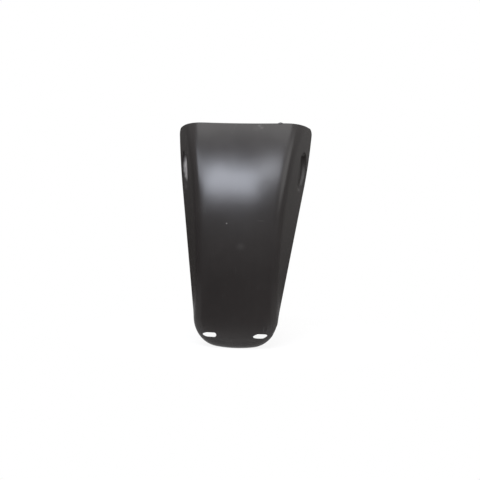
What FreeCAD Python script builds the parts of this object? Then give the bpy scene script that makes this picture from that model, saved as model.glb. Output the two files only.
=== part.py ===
import FreeCAD, Part
import math
import os
import Sketcher

# Front inner fender of a motorbike: one injection-moulded shell of black plastic.
# X runs across the fender, Z runs up, and the arched outer face looks towards -Y.
# The origin is midway between the two fixing slots, on the outer face.

SIZES = {
    "wall_thickness": 2.4,
    # front outline: the walls' distance apart in the plane y = 0
    "front_width": 122.0,
    "wall_flare": 25.0,
    "bottom_drop": 16.0,
    "bottom_bow_radius": 200.0,
    "bottom_corner_radius": 38.0,
    # arched outer face: flat up to straight_height, then bent back to the top edge
    "top_height": 353.0,
    "top_dip": 3.0,
    "top_dip_width": 150.0,
    "straight_height": 70.0,
    "arch_radius": 615.0,
    "crown_radius": 450.0,
    "fold_radius": 18.0,
    # rear edge of the walls: a short lip at the bottom, deep walls at the top
    "lip_depth": 11.0,
    "lip_height": 20.0,
    "lip_bend_radius": 120.0,
    "rear_lean": 21.3,
    "rear_bow_height": 243.0,
    "rear_bow_radius": 520.0,
    "rear_corner_radius": 10.0,
    # oval relief pressed into each wall
    "relief_height": 72.0,
    "relief_width": 26.0,
    "relief_depth": 4.0,
    "relief_draft": 45.0,
    "relief_rise": 269.0,
    "relief_setback": 97.0,
    "relief_lean": 20.0,
    "relief_rim_radius": 4.0,
    "relief_floor_radius": 3.0,
    # fixing slots
    "slot_spacing": 80.0,
    "slot_length": 22.0,
    "slot_width": 7.0,
}

doc = FreeCAD.newDocument("front_inner_fender")
sheet = doc.addObject("Spreadsheet::Sheet", "sizes")
for row, (alias, value) in enumerate(SIZES.items(), start=1):
    sheet.set(f"A{row}", alias)
    sheet.set(f"B{row}", str(value))
    sheet.setAlias(f"B{row}", alias)
doc.recompute()

# The depth that no wall reaches past, for the ends of blocks and cuts.
DEEP = "(sizes.lip_depth + sizes.top_height * tan(sizes.rear_lean))"

# Point and axis numbers that sketch constraints use.
START, END, CENTRE = 1, 2, 3
ORIGIN = (-1, 1)
X_AXIS = -1
Y_AXIS = -2
PLUS_Z = FreeCAD.Vector(0, 0, 1)

# Limits for picking faces and edges: the part of a unit normal that counts as facing a way,
# and how near a depth an edge has to stay at each of its spots.
FACING = 0.7
DEPTH_TOLERANCE = 0.01
SPOTS_PER_EDGE = 5
# The turn about the axle that carries the arched face past the top edge.
ARCH_TURN = 60.0


def point(x, y):
    return FreeCAD.Vector(x, y, 0)


def new_sketch(body, name, role):
    """A sketch on one of the body's own origin planes."""
    sketch = body.newObject("Sketcher::SketchObject", name)
    plane = next(f for f in body.Origin.OriginFeatures if f.Role == role)
    sketch.AttachmentSupport = [(plane, "")]
    sketch.MapMode = "FlatFace"
    return sketch


def line(sketch, start, end):
    return sketch.addGeometry(Part.LineSegment(start, end), False)


def arc(sketch, centre, radius, first, last):
    circle = Part.Circle(centre, PLUS_Z, radius)
    return sketch.addGeometry(Part.ArcOfCircle(circle, first, last), False)


def rule(sketch, kind, *refs):
    return sketch.addConstraint(Sketcher.Constraint(kind, *refs))


def measure(sketch, kind, name, expression, *refs):
    """A named dimension of the sketch that follows the sheet."""
    index = sketch.addConstraint(Sketcher.Constraint(kind, *refs))
    sketch.renameConstraint(index, name)
    sketch.setExpression(f"Constraints.{name}", expression)


def wall_outline(body, name, inset, setback):
    """Front outline of the walls in the plane y = setback, with the skin moved in by inset."""
    spread = f"({setback} * tan(sizes.wall_flare) - {inset} / cos(sizes.wall_flare))"
    sketch = new_sketch(body, name, "XZ_Plane")
    sketch.setExpression("AttachmentOffset.Base.z", f"-({setback})")
    half = SIZES["front_width"] / 2
    low = -SIZES["bottom_drop"]
    high = SIZES["top_height"] + SIZES["fold_radius"]
    bow = SIZES["bottom_bow_radius"]
    corner = SIZES["bottom_corner_radius"]
    rise = math.sqrt((bow - corner) ** 2 - (half - corner) ** 2)
    corner_z = low + bow - rise
    turn = math.atan2(half - corner, rise)
    right = line(sketch, point(half, corner_z), point(half, high))
    top = line(sketch, point(half, high), point(-half, high))
    left = line(sketch, point(-half, high), point(-half, corner_z))
    left_corner = arc(sketch, point(corner - half, corner_z), corner, math.pi, 1.5 * math.pi - turn)
    bottom = arc(sketch, point(0, low + bow), bow, 1.5 * math.pi - turn, 1.5 * math.pi + turn)
    right_corner = arc(sketch, point(half - corner, corner_z), corner, 1.5 * math.pi + turn, 2 * math.pi)
    rule(sketch, "Coincident", right, END, top, START)
    rule(sketch, "Coincident", top, END, left, START)
    rule(sketch, "Tangent", left, END, left_corner, START)
    rule(sketch, "Tangent", left_corner, END, bottom, START)
    rule(sketch, "Tangent", bottom, END, right_corner, START)
    rule(sketch, "Tangent", right_corner, END, right, START)
    rule(sketch, "Vertical", right)
    rule(sketch, "Vertical", left)
    rule(sketch, "Symmetric", top, START, top, END, Y_AXIS)
    rule(sketch, "Equal", left_corner, right_corner)
    rule(sketch, "PointOnObject", bottom, CENTRE, Y_AXIS)
    measure(sketch, "DistanceX", "half_width", f"sizes.front_width / 2 + {spread}",
            *ORIGIN, right, END, half)
    measure(sketch, "DistanceY", "block_top", "sizes.top_height + sizes.fold_radius",
            *ORIGIN, top, START, high)
    measure(sketch, "Radius", "bow", f"sizes.bottom_bow_radius + {spread}", bottom, bow)
    measure(sketch, "Radius", "corner", f"sizes.bottom_corner_radius + {spread}", right_corner, corner)
    measure(sketch, "DistanceY", "bow_centre", "sizes.bottom_bow_radius - sizes.bottom_drop",
            *ORIGIN, bottom, CENTRE, low + bow)
    return sketch


def face_section(body, inset):
    """What lies ahead of the crowned face, seen from above at the height where the arch starts."""
    sketch = new_sketch(body, "ahead_of_face", "XY_Plane")
    sketch.setExpression("AttachmentOffset.Base.z", "sizes.straight_height")
    crown = SIZES["crown_radius"]
    half = SIZES["front_width"]
    ahead = -SIZES["front_width"]
    edge_y = crown - math.sqrt(crown ** 2 - half ** 2)
    sweep = math.asin(half / crown)
    face = arc(sketch, point(0, crown), crown, 1.5 * math.pi - sweep, 1.5 * math.pi + sweep)
    right = line(sketch, point(half, edge_y), point(half, ahead))
    front = line(sketch, point(half, ahead), point(-half, ahead))
    left = line(sketch, point(-half, ahead), point(-half, edge_y))
    axle = sketch.addGeometry(
        Part.LineSegment(point(-half, SIZES["arch_radius"]), point(half, SIZES["arch_radius"])), True)
    rule(sketch, "Coincident", face, END, right, START)
    rule(sketch, "Coincident", right, END, front, START)
    rule(sketch, "Coincident", front, END, left, START)
    rule(sketch, "Coincident", left, END, face, START)
    rule(sketch, "Vertical", right)
    rule(sketch, "Vertical", left)
    rule(sketch, "Symmetric", front, START, front, END, Y_AXIS)
    rule(sketch, "PointOnObject", face, CENTRE, Y_AXIS)
    rule(sketch, "Symmetric", axle, START, axle, END, Y_AXIS)
    rule(sketch, "Equal", axle, front)
    measure(sketch, "Radius", "crown", f"sizes.crown_radius - {inset}", face, crown)
    measure(sketch, "DistanceY", "crown_centre", "sizes.crown_radius", *ORIGIN, face, CENTRE, crown)
    measure(sketch, "DistanceX", "half_width",
            f"sizes.front_width / 2 + 2 * {DEEP} * tan(sizes.wall_flare)", *ORIGIN, right, END, half)
    measure(sketch, "DistanceY", "ahead", DEEP, right, END, *ORIGIN, -ahead)
    measure(sketch, "DistanceY", "axle_depth", "sizes.arch_radius",
            *ORIGIN, axle, START, SIZES["arch_radius"])
    return sketch


def relief_outline(body, name, side, inset, sink):
    """The oval relief of one wall, cut by a plane that lies sink below the wall's outer face."""
    sketch = new_sketch(body, name, "YZ_Plane")
    turn = FreeCAD.Rotation(FreeCAD.Vector(0, -side, 0), SIZES["wall_flare"])
    sketch.AttachmentOffset = FreeCAD.Placement(FreeCAD.Vector(), turn)
    sketch.setExpression("AttachmentOffset.Rotation.Angle", "sizes.wall_flare")
    sketch.setExpression("AttachmentOffset.Base.z",
                         f"{side} * (sizes.front_width / 2 - {sink} / cos(sizes.wall_flare))")
    spread = f"({inset} / cos(sizes.relief_draft) - {sink} * tan(sizes.relief_draft))"
    radius = SIZES["relief_width"] / 2
    reach = SIZES["relief_height"] / 2 - radius
    lean = math.radians(SIZES["relief_lean"])
    middle = point(SIZES["relief_setback"], SIZES["relief_rise"])
    along = point(math.sin(lean), math.cos(lean)) * reach
    across = point(math.cos(lean), -math.sin(lean)) * radius
    rear = line(sketch, middle + across - along, middle + across + along)
    upper = arc(sketch, middle + along, radius, -lean, math.pi - lean)
    front = line(sketch, middle - across + along, middle - across - along)
    lower = arc(sketch, middle - along, radius, math.pi - lean, 2 * math.pi - lean)
    rule(sketch, "Tangent", rear, END, upper, START)
    rule(sketch, "Tangent", upper, END, front, START)
    rule(sketch, "Tangent", front, END, lower, START)
    rule(sketch, "Tangent", lower, END, rear, START)
    rule(sketch, "Equal", upper, lower)
    setback = f"sizes.relief_setback + {sink} * tan(sizes.wall_flare)"
    back_run = "(sizes.relief_height - sizes.relief_width) / 2 * sin(sizes.relief_lean)"
    up_run = "(sizes.relief_height - sizes.relief_width) / 2 * cos(sizes.relief_lean)"
    high = middle + along
    low = middle - along
    measure(sketch, "Radius", "end_radius", f"sizes.relief_width / 2 + {spread}", upper, radius)
    measure(sketch, "DistanceX", "upper_setback", f"{setback} + {back_run}", *ORIGIN, upper, CENTRE, high.x)
    measure(sketch, "DistanceY", "upper_rise", f"sizes.relief_rise + {up_run}",
            *ORIGIN, upper, CENTRE, high.y)
    measure(sketch, "DistanceX", "lower_setback", f"{setback} - {back_run}", *ORIGIN, lower, CENTRE, low.x)
    measure(sketch, "DistanceY", "lower_rise", f"sizes.relief_rise - {up_run}",
            *ORIGIN, lower, CENTRE, low.y)
    return sketch


def outward(face):
    """The face's outward direction at its middle."""
    return face.normalAt(*face.Surface.parameter(face.CenterOfMass))


def shared_edges(shape, first, second):
    """Names of the edges between a face that passes the first test and one that passes the second."""
    names = []
    for number, edge in enumerate(shape.Edges, start=1):
        faces = shape.ancestorsOfType(edge, Part.Face)
        if len(faces) != 2:
            continue
        a, b = faces
        if (first(a) and second(b)) or (first(b) and second(a)):
            names.append(f"Edge{number}")
    return names


def fillet(body, name, base, edges, radius):
    feature = body.newObject("PartDesign::Fillet", name)
    feature.Base = (base, edges)
    feature.setExpression("Radius", radius)
    doc.recompute()
    return feature


def is_front(face):
    return outward(face).y < -FACING


def is_side(face):
    return outward(face).y >= -FACING and outward(face).z < FACING


def wall_place(spot):
    """Depth below the outer face of the wall on this side, and distance back along that wall."""
    flare = math.radians(SIZES["wall_flare"])
    gap = SIZES["front_width"] / 2 - abs(spot.x)
    depth = gap * math.cos(flare) + spot.y * math.sin(flare)
    setback = spot.y * math.cos(flare) - gap * math.sin(flare)
    return depth, setback


def relief_edges(shape, depth):
    """Names of the edges of both reliefs that lie this far below the walls' outer faces."""
    reach = SIZES["relief_height"] / 2 + SIZES["relief_rim_radius"]
    names = []
    for number, edge in enumerate(shape.Edges, start=1):
        found = True
        for spot in edge.discretize(SPOTS_PER_EDGE):
            spot_depth, setback = wall_place(spot)
            away = math.hypot(setback - SIZES["relief_setback"], spot.z - SIZES["relief_rise"])
            found &= abs(spot_depth - depth) < DEPTH_TOLERANCE
            found &= away < reach
        if found:
            names.append(f"Edge{number}")
    return names


def fender_form(name, skin_size):
    """The fender as a solid block with its outer skin moved in by the named size, if any."""
    inset = f"sizes.{skin_size}" if skin_size else "0"
    skin = SIZES[skin_size] if skin_size else 0.0
    body = doc.addObject("PartDesign::Body", name)
    near = wall_outline(body, "outline_ahead", inset, "-sizes.wall_thickness")
    far = wall_outline(body, "outline_behind", inset, DEEP)
    walls = body.newObject("PartDesign::AdditiveLoft", "walls")
    walls.Profile = near
    walls.Sections = [far]
    walls.Ruled = True
    ahead = face_section(body, inset)
    lower = body.newObject("PartDesign::Pocket", "lower_face")
    lower.Profile = ahead
    lower.setExpression("Length", "sizes.straight_height + sizes.front_width")
    upper = body.newObject("PartDesign::Groove", "arched_face")
    upper.Profile = ahead
    upper.ReferenceAxis = (ahead, ["Axis0"])
    upper.Reversed = True
    upper.Angle = ARCH_TURN
    doc.recompute()
    folds = shared_edges(upper.Shape, is_front, is_side)
    fillet(body, "folds", upper, folds, f"sizes.fold_radius - {inset}")
    for side, label in ((1, "right"), (-1, "left")):
        mouth = relief_outline(body, f"{label}_relief_mouth", side, inset,
                               f"({inset} - sizes.wall_thickness)")
        floor = relief_outline(body, f"{label}_relief_floor", side, inset,
                               f"({inset} + sizes.relief_depth)")
        relief = body.newObject("PartDesign::SubtractiveLoft", f"{label}_relief")
        relief.Profile = mouth
        relief.Sections = [floor]
        relief.Ruled = True
        doc.recompute()
    floor_edges = relief_edges(relief.Shape, skin + SIZES["relief_depth"])
    floors = fillet(body, "relief_floors", relief, floor_edges, f"sizes.relief_floor_radius + {inset}")
    rim_edges = relief_edges(floors.Shape, skin)
    fillet(body, "relief_rims", floors, rim_edges, f"sizes.relief_rim_radius - {inset}")
    return body


def trim_rear(body):
    """Cut away what lies behind the rear edge, seen from the side."""
    sketch = new_sketch(body, "behind_rear_edge", "YZ_Plane")
    lip = SIZES["lip_depth"]
    bend = SIZES["lip_bend_radius"]
    bow = SIZES["rear_bow_radius"]
    bow_z = SIZES["rear_bow_height"]
    rounding = SIZES["rear_corner_radius"]
    top = SIZES["top_height"]
    low = -SIZES["front_width"]
    high = top + SIZES["front_width"]
    lean = math.radians(SIZES["rear_lean"])
    bend_z = SIZES["lip_height"] - bend * math.tan(lean / 2)
    bend_end = point(lip + bend - bend * math.cos(lean), bend_z + bend * math.sin(lean))
    bow_y = lip + (bow_z - SIZES["lip_height"]) * math.tan(lean)
    bow_centre = point(bow_y - bow * math.cos(lean), bow_z + bow * math.sin(lean))
    drop = bow_centre.y - (top - rounding)
    corner_centre = bow_centre + point(math.sqrt((bow - rounding) ** 2 - drop ** 2), -drop)
    turn = math.asin(drop / (bow - rounding))
    far = 2 * corner_centre.x
    lower = line(sketch, point(lip, low), point(lip, bend_z))
    knee = arc(sketch, point(lip + bend, bend_z), bend, math.pi - lean, math.pi)
    straight = line(sketch, bend_end, point(bow_y, bow_z))
    upper = arc(sketch, bow_centre, bow, -lean, -turn)
    corner = arc(sketch, corner_centre, rounding, -turn, math.pi / 2)
    riser = line(sketch, point(corner_centre.x, top), point(corner_centre.x, high))
    over = line(sketch, point(corner_centre.x, high), point(far, high))
    back = line(sketch, point(far, high), point(far, low))
    under = line(sketch, point(far, low), point(lip, low))
    rule(sketch, "Tangent", lower, END, knee, END)
    rule(sketch, "Tangent", knee, START, straight, START)
    rule(sketch, "Tangent", straight, END, upper, START)
    rule(sketch, "Tangent", upper, END, corner, START)
    rule(sketch, "Coincident", corner, END, riser, START)
    rule(sketch, "Coincident", riser, END, over, START)
    rule(sketch, "Coincident", over, END, back, START)
    rule(sketch, "Coincident", back, END, under, START)
    rule(sketch, "Coincident", under, END, lower, START)
    rule(sketch, "Vertical", corner, CENTRE, corner, END)
    for upright in (lower, riser, back):
        rule(sketch, "Vertical", upright)
    for level in (over, under):
        rule(sketch, "Horizontal", level)
    measure(sketch, "DistanceX", "lip", "sizes.lip_depth", *ORIGIN, lower, START, lip)
    measure(sketch, "DistanceY", "low", "sizes.front_width", lower, START, *ORIGIN, -low)
    measure(sketch, "Radius", "bend", "sizes.lip_bend_radius", knee, bend)
    bend_start = "sizes.lip_height - sizes.lip_bend_radius * tan(sizes.rear_lean / 2)"
    measure(sketch, "DistanceY", "bend_start", bend_start, *ORIGIN, knee, CENTRE, bend_z)
    measure(sketch, "Angle", "lean", "90 - sizes.rear_lean", straight, math.pi / 2 - lean)
    measure(sketch, "DistanceY", "bow_start", "sizes.rear_bow_height", *ORIGIN, straight, END, bow_z)
    measure(sketch, "Radius", "bow", "sizes.rear_bow_radius", upper, bow)
    measure(sketch, "Radius", "rounding", "sizes.rear_corner_radius", corner, rounding)
    measure(sketch, "DistanceY", "top", "sizes.top_height", *ORIGIN, corner, END, top)
    measure(sketch, "DistanceY", "high", "sizes.front_width", riser, START, riser, END, high - top)
    measure(sketch, "DistanceX", "far", f"2 * {DEEP}", *ORIGIN, back, START, far)
    return through_cut(body, "rear_edge", sketch)


def trim_top(body):
    """Cut away what lies above the top edge, which dips a little in the middle."""
    sketch = new_sketch(body, "above_top_edge", "XZ_Plane")
    top = SIZES["top_height"]
    dip = SIZES["top_dip"]
    reach = SIZES["top_dip_width"] / 2
    radius = (reach ** 2 + dip ** 2) / (2 * dip)
    sweep = math.asin(reach / radius)
    half = 2 * SIZES["front_width"]
    high = top + SIZES["front_width"]
    hollow = arc(sketch, point(0, top - dip + radius), radius, 1.5 * math.pi - sweep, 1.5 * math.pi + sweep)
    right_edge = line(sketch, point(reach, top), point(half, top))
    right = line(sketch, point(half, top), point(half, high))
    over = line(sketch, point(half, high), point(-half, high))
    left = line(sketch, point(-half, high), point(-half, top))
    left_edge = line(sketch, point(-half, top), point(-reach, top))
    rule(sketch, "Coincident", hollow, END, right_edge, START)
    rule(sketch, "Coincident", right_edge, END, right, START)
    rule(sketch, "Coincident", right, END, over, START)
    rule(sketch, "Coincident", over, END, left, START)
    rule(sketch, "Coincident", left, END, left_edge, START)
    rule(sketch, "Coincident", left_edge, END, hollow, START)
    rule(sketch, "Horizontal", right_edge)
    rule(sketch, "Horizontal", left_edge)
    rule(sketch, "Vertical", right)
    rule(sketch, "Vertical", left)
    rule(sketch, "Symmetric", over, START, over, END, Y_AXIS)
    rule(sketch, "Symmetric", hollow, START, hollow, END, Y_AXIS)
    measure(sketch, "DistanceX", "dip_half", "sizes.top_dip_width / 2", *ORIGIN, right_edge, START, reach)
    measure(sketch, "DistanceY", "top", "sizes.top_height", *ORIGIN, right_edge, START, top)
    measure(sketch, "Radius", "dip_radius",
            "(sizes.top_dip_width ^ 2 / 4 + sizes.top_dip ^ 2) / (2 * sizes.top_dip)", hollow, radius)
    measure(sketch, "DistanceX", "half", f"sizes.front_width / 2 + {DEEP}", *ORIGIN, over, START, half)
    measure(sketch, "DistanceY", "high", "sizes.top_height + sizes.front_width", *ORIGIN, over, START, high)
    return through_cut(body, "top_edge", sketch)


def cut_slots(body):
    """The two fixing slots, cut straight through along Y."""
    sketch = new_sketch(body, "slots", "XZ_Plane")
    radius = SIZES["slot_width"] / 2
    reach = SIZES["slot_length"] / 2 - radius
    for side, label in ((1, "right"), (-1, "left")):
        centre = side * SIZES["slot_spacing"] / 2
        inner = centre - reach
        outer = centre + reach
        under = line(sketch, point(inner, -radius), point(outer, -radius))
        end = arc(sketch, point(outer, 0), radius, -math.pi / 2, math.pi / 2)
        over = line(sketch, point(outer, radius), point(inner, radius))
        start = arc(sketch, point(inner, 0), radius, math.pi / 2, 1.5 * math.pi)
        rule(sketch, "Tangent", under, END, end, START)
        rule(sketch, "Tangent", end, END, over, START)
        rule(sketch, "Tangent", over, END, start, START)
        rule(sketch, "Tangent", start, END, under, START)
        rule(sketch, "Horizontal", under)
        rule(sketch, "Equal", start, end)
        rule(sketch, "PointOnObject", end, CENTRE, X_AXIS)
        reach_size = "(sizes.slot_length - sizes.slot_width) / 2"
        measure(sketch, "Radius", f"{label}_radius", "sizes.slot_width / 2", end, radius)
        measure(sketch, "DistanceX", f"{label}_start",
                f"{side} * sizes.slot_spacing / 2 - {reach_size}", *ORIGIN, start, CENTRE, inner)
        measure(sketch, "DistanceX", f"{label}_end",
                f"{side} * sizes.slot_spacing / 2 + {reach_size}", *ORIGIN, end, CENTRE, outer)
    return through_cut(body, "slot_holes", sketch)


def through_cut(body, name, sketch):
    cut = body.newObject("PartDesign::Pocket", name)
    cut.Profile = sketch
    cut.Type = "ThroughAll"
    cut.Midplane = True
    doc.recompute()
    return cut


fender = fender_form("front_inner_fender", None)
core = fender_form("core", "wall_thickness")
hollow = fender.newObject("PartDesign::Boolean", "hollow")
hollow.Type = "Cut"
hollow.Group = [core]
fender.Tip = hollow
doc.recompute()
trim_rear(fender)
trim_top(fender)
cut_slots(fender)
fender.Label = "front_inner_fender"
doc.recompute()

for item in doc.Objects:
    if "Invalid" in item.State or "Error" in item.State:
        raise RuntimeError(f"{item.Label} did not build: {item.State}")
if fender.Shape.isNull() or not fender.Shape.isValid() or len(fender.Shape.Solids) != 1:
    raise RuntimeError("the fender is not one valid solid")
os.makedirs("parts", exist_ok=True)
fender.Shape.exportStep(f"parts/{fender.Label}.step")
box = fender.Shape.BoundBox
print(f"{fender.Label}: {box.XLength:.1f} x {box.YLength:.1f} x {box.ZLength:.1f} mm,",
      f"{fender.Shape.Volume / 1000:.1f} cm3")
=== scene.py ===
# %% [markdown]
# # A moulded inner fender, from its rule to its finish
#
# The object is the inner front fender of a motorbike: one shell of satin black plastic, about
# 37 cm tall. It has an arched face, two flared side walls, an oval relief pressed into each wall
# and two fixing slots at the narrow lower end.
#
# The CAD model is loaded first and stays the reference for every size. Its mesh is made of loose
# triangles, which would show as facets in a glossy highlight. So this lesson builds the same shell
# again as a fine, even net of quads, and lets the new piece stand for the CAD node.

import math
from functools import partialmethod

import bmesh
import bpy
import numpy as np
from mathutils import Matrix, Vector


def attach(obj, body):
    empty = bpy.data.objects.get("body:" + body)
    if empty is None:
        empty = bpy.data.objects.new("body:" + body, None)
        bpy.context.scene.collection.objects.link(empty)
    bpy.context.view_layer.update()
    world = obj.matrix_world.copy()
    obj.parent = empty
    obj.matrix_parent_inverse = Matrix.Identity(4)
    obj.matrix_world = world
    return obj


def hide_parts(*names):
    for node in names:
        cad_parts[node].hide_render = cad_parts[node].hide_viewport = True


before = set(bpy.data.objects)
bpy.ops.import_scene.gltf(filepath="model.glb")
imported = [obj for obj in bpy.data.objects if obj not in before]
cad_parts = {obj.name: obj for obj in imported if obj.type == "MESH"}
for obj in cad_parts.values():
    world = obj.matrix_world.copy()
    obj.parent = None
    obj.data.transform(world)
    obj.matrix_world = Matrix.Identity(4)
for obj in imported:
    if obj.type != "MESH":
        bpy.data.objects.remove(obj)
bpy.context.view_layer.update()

# %% [markdown]
# ## The rule of the shape
#
# A fender like this is drawn as two surfaces that meet in a fold. The walls are straight lines that
# lean outwards by the flare angle, all round the front outline: down one side, round the lower end
# and up the other side. The face is a slightly crowned strip that runs straight up from the lower
# end and then bends back around an axle, as it does around the wheel.
#
# Sizes are in millimetres here and become metres when the mesh is made. They are the CAD sizes, so
# the two models agree, with two refinements: the folds open out towards the top edge, and the oval
# reliefs are a little broader and deeper.

# %% Sizes of the moulding
WALL = 2.4
FLARE = math.radians(25.0)
FRONT_HALF = 61.0
BOTTOM_DROP = 16.0
BOW_RADIUS = 200.0
CORNER_RADIUS = 38.0
TOP = 353.0
TOP_DIP = 3.0
TOP_DIP_HALF = 75.0
STRAIGHT_HEIGHT = 70.0
ARCH_RADIUS = 615.0
CROWN_RADIUS = 450.0
FOLD_RADIUS = 18.0
FOLD_GROWTH = 22.0
FOLD_GROWTH_START = 265.0
LIP_DEPTH = 11.0
LIP_HEIGHT = 20.0
LIP_BEND_RADIUS = 120.0
REAR_LEAN = math.radians(21.3)
REAR_BOW_HEIGHT = 243.0
REAR_BOW_RADIUS = 520.0
REAR_CORNER_RADIUS = 10.0
# centres, as x and z, of the lower end's bow and of the right lower corner that runs into it
BOW_CENTRE = np.array([0.0, BOW_RADIUS - BOTTOM_DROP])
CORNER_INSIDE = FRONT_HALF - CORNER_RADIUS
CORNER_RISE = math.sqrt((BOW_RADIUS - CORNER_RADIUS) ** 2 - CORNER_INSIDE ** 2)
CORNER_CENTRE = BOW_CENTRE + (CORNER_INSIDE, -CORNER_RISE)
CORNER_END = -math.pi / 2 + math.asin(CORNER_INSIDE / (BOW_RADIUS - CORNER_RADIUS))
print("lower corner centre, mm:", CORNER_CENTRE.round(2), "turns to", round(math.degrees(CORNER_END), 1))

# %% [markdown]
# ## The face and the front outline
#
# Two small functions hold the face: its depth y at a place (x, z), and its outward normal. Both take
# an inset, so that the same rule also gives the parallel inner skin and the path of the fold.
#
# The outline is a list of stations. A station is a point on the front outline together with the
# direction in which the wall there leans out.

# %% Face and outline
def crown_depth(x, inset):
    return CROWN_RADIUS - np.sqrt((CROWN_RADIUS - inset) ** 2 - x ** 2)


def face_depth(x, z, inset):
    """How far back the face lies at x and z."""
    reach = ARCH_RADIUS - crown_depth(x, inset)
    rise = np.maximum(z - STRAIGHT_HEIGHT, 0.0)
    return ARCH_RADIUS - np.sqrt(reach ** 2 - rise ** 2)


def face_normal(x, z, inset):
    """The face's outward direction at x and z."""
    reach = ARCH_RADIUS - crown_depth(x, inset)
    tilt = np.arcsin(np.maximum(z - STRAIGHT_HEIGHT, 0.0) / reach)
    across = x / (CROWN_RADIUS - inset)
    ahead = np.sqrt(1.0 - across ** 2)
    return np.stack([across, -ahead * np.cos(tilt), ahead * np.sin(tilt)], -1)


def side_stations(heights):
    """Stations on the straight right side, as rows of x, z and the lean's x, z."""
    heights = np.asarray(heights, float)
    flat = np.zeros_like(heights)
    return np.stack([flat + FRONT_HALF, heights, flat + 1.0, flat], -1)


def arc_stations(centre, radius, angles):
    lean = np.stack([np.cos(angles), np.sin(angles)], -1)
    return np.concatenate([centre + radius * lean, lean], -1)


print("face depth at the top edge, mm:", face_depth(0.0, TOP, 0.0).round(1))

# %% [markdown]
# ## A cross-section at one station
#
# At each station a section starts on the face, turns round the fold and runs back along the wall to
# the rear edge. A fold is the track of a ball that rolls along both surfaces, so the ball's centre
# comes first: it lies one radius inside the wall and one radius inside the face. Near the top edge
# the ball grows, because the real folds open out there. The centre's place has no neat formula, and
# simple halving finds it for all stations at once. The same halving finds where the section meets
# the rear edge.

# %% Fold and wall section
def halve(below, low, high, steps=60):
    """The places between low and high where below() turns from true to false."""
    for _ in range(steps):
        middle = (low + high) / 2
        under = below(middle)
        low = np.where(under, middle, low)
        high = np.where(under, high, middle)
    return (low + high) / 2


def fold_radius(height):
    """Radius of the fold, which opens out towards the top edge."""
    share = np.clip((height - FOLD_GROWTH_START) / (TOP - FOLD_GROWTH_START), 0.0, 1.0)
    return FOLD_RADIUS + FOLD_GROWTH * share ** 2


def leaning(lean, out, back):
    """Directions that go out along the lean and back along y."""
    return np.stack([lean[..., 0] * out, back, lean[..., 1] * out], -1)


def wall_point(stations, depth, inset):
    """A point on each station's wall line, with the wall's skin moved in by inset."""
    spread = depth * math.tan(FLARE) - inset / math.cos(FLARE)
    x = stations[..., 0] + spread * stations[..., 2]
    z = stations[..., 1] + spread * stations[..., 3]
    return np.stack([x, depth, z], -1)


def rear_depth(z):
    """Depth of the rear edge at a height, without the rounded top corner."""
    bend_z = LIP_HEIGHT - LIP_BEND_RADIUS * math.tan(REAR_LEAN / 2)
    bend_top = bend_z + LIP_BEND_RADIUS * math.sin(REAR_LEAN)
    bow_y = LIP_DEPTH + (REAR_BOW_HEIGHT - LIP_HEIGHT) * math.tan(REAR_LEAN)
    bow_mid_y = bow_y - REAR_BOW_RADIUS * math.cos(REAR_LEAN)
    bow_mid_z = REAR_BOW_HEIGHT + REAR_BOW_RADIUS * math.sin(REAR_LEAN)
    in_bend = np.clip(z, bend_z, bend_top) - bend_z
    bend = LIP_DEPTH + LIP_BEND_RADIUS - np.sqrt(LIP_BEND_RADIUS ** 2 - in_bend ** 2)
    straight = LIP_DEPTH + (z - LIP_HEIGHT) * math.tan(REAR_LEAN)
    bow = bow_mid_y + np.sqrt(REAR_BOW_RADIUS ** 2 - (np.maximum(z, REAR_BOW_HEIGHT) - bow_mid_z) ** 2)
    return np.where(z < bend_top, bend, np.where(z < REAR_BOW_HEIGHT, straight, bow))


class Sections:
    """The cross-sections of one skin at a list of stations."""

    def __init__(self, stations, inset):
        self.inset = inset
        radius = fold_radius(stations[..., 1])
        self.turn_radius = radius - inset
        zero = np.zeros(stations.shape[:-1])

        def ahead_of_face(depth):
            place = wall_point(stations, depth, radius)
            return depth < face_depth(place[..., 0], place[..., 2], radius)

        ball = halve(ahead_of_face, zero, zero + TOP)
        self.centre = wall_point(stations, ball, radius)
        self.from_face = face_normal(self.centre[..., 0], self.centre[..., 2], radius)
        lean = stations[..., 2:]
        self.to_wall = leaning(lean, math.cos(FLARE), zero - math.sin(FLARE))
        self.along = leaning(lean, math.sin(FLARE), zero + math.cos(FLARE))
        cosine = (self.from_face * self.to_wall).sum(-1)
        self.turn = np.arccos(cosine)
        side = self.to_wall - cosine[..., None] * self.from_face
        self.sideways = side / np.linalg.norm(side, axis=-1, keepdims=True)
        self.length = halve(self.before_rear_edge, zero, zero + TOP)

    def at(self, run):
        """The point that lies this far along each section, from the face backwards."""
        fold = self.turn_radius * self.turn
        angle = (np.minimum(run, fold) / self.turn_radius)[..., None]
        round_fold = self.from_face * np.cos(angle) + self.sideways * np.sin(angle)
        on_wall = np.maximum(run - fold, 0.0)[..., None] * self.along
        return self.centre + self.turn_radius[..., None] * round_fold + on_wall

    def before_rear_edge(self, run):
        place = self.at(run)
        return place[..., 1] < rear_depth(place[..., 2])


middle = Sections(side_stations([200.0]), 0.0)
print("section at half height runs", middle.length.round(1), "mm from face to rear edge")

# %% [markdown]
# ## The net of one skin
#
# The net for the right half is a strip and a patch. The strip follows the outline, with one section
# per row. The patch fills the face inside the strip: its four sides are known, and a blend of
# opposite sides gives its inner points, which is the usual way to fill a four-sided patch.
#
# Rows lie closer together where the relief will be pressed. The last quad before the rear edge has a
# set width, which leaves room for the rounding of that edge. Two places need care at the top. The
# rows there are stretched so that every column ends on the top edge. And the square corner of the
# wall is pulled into its round shape with the mapping that turns a square into a disc. Last, points
# near the line between face and fold are averaged a little, as a real sheet eases into its bends.

# %% Net of one skin
SECTION_STEPS = 52
RIM_STEP = 1.0
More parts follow.
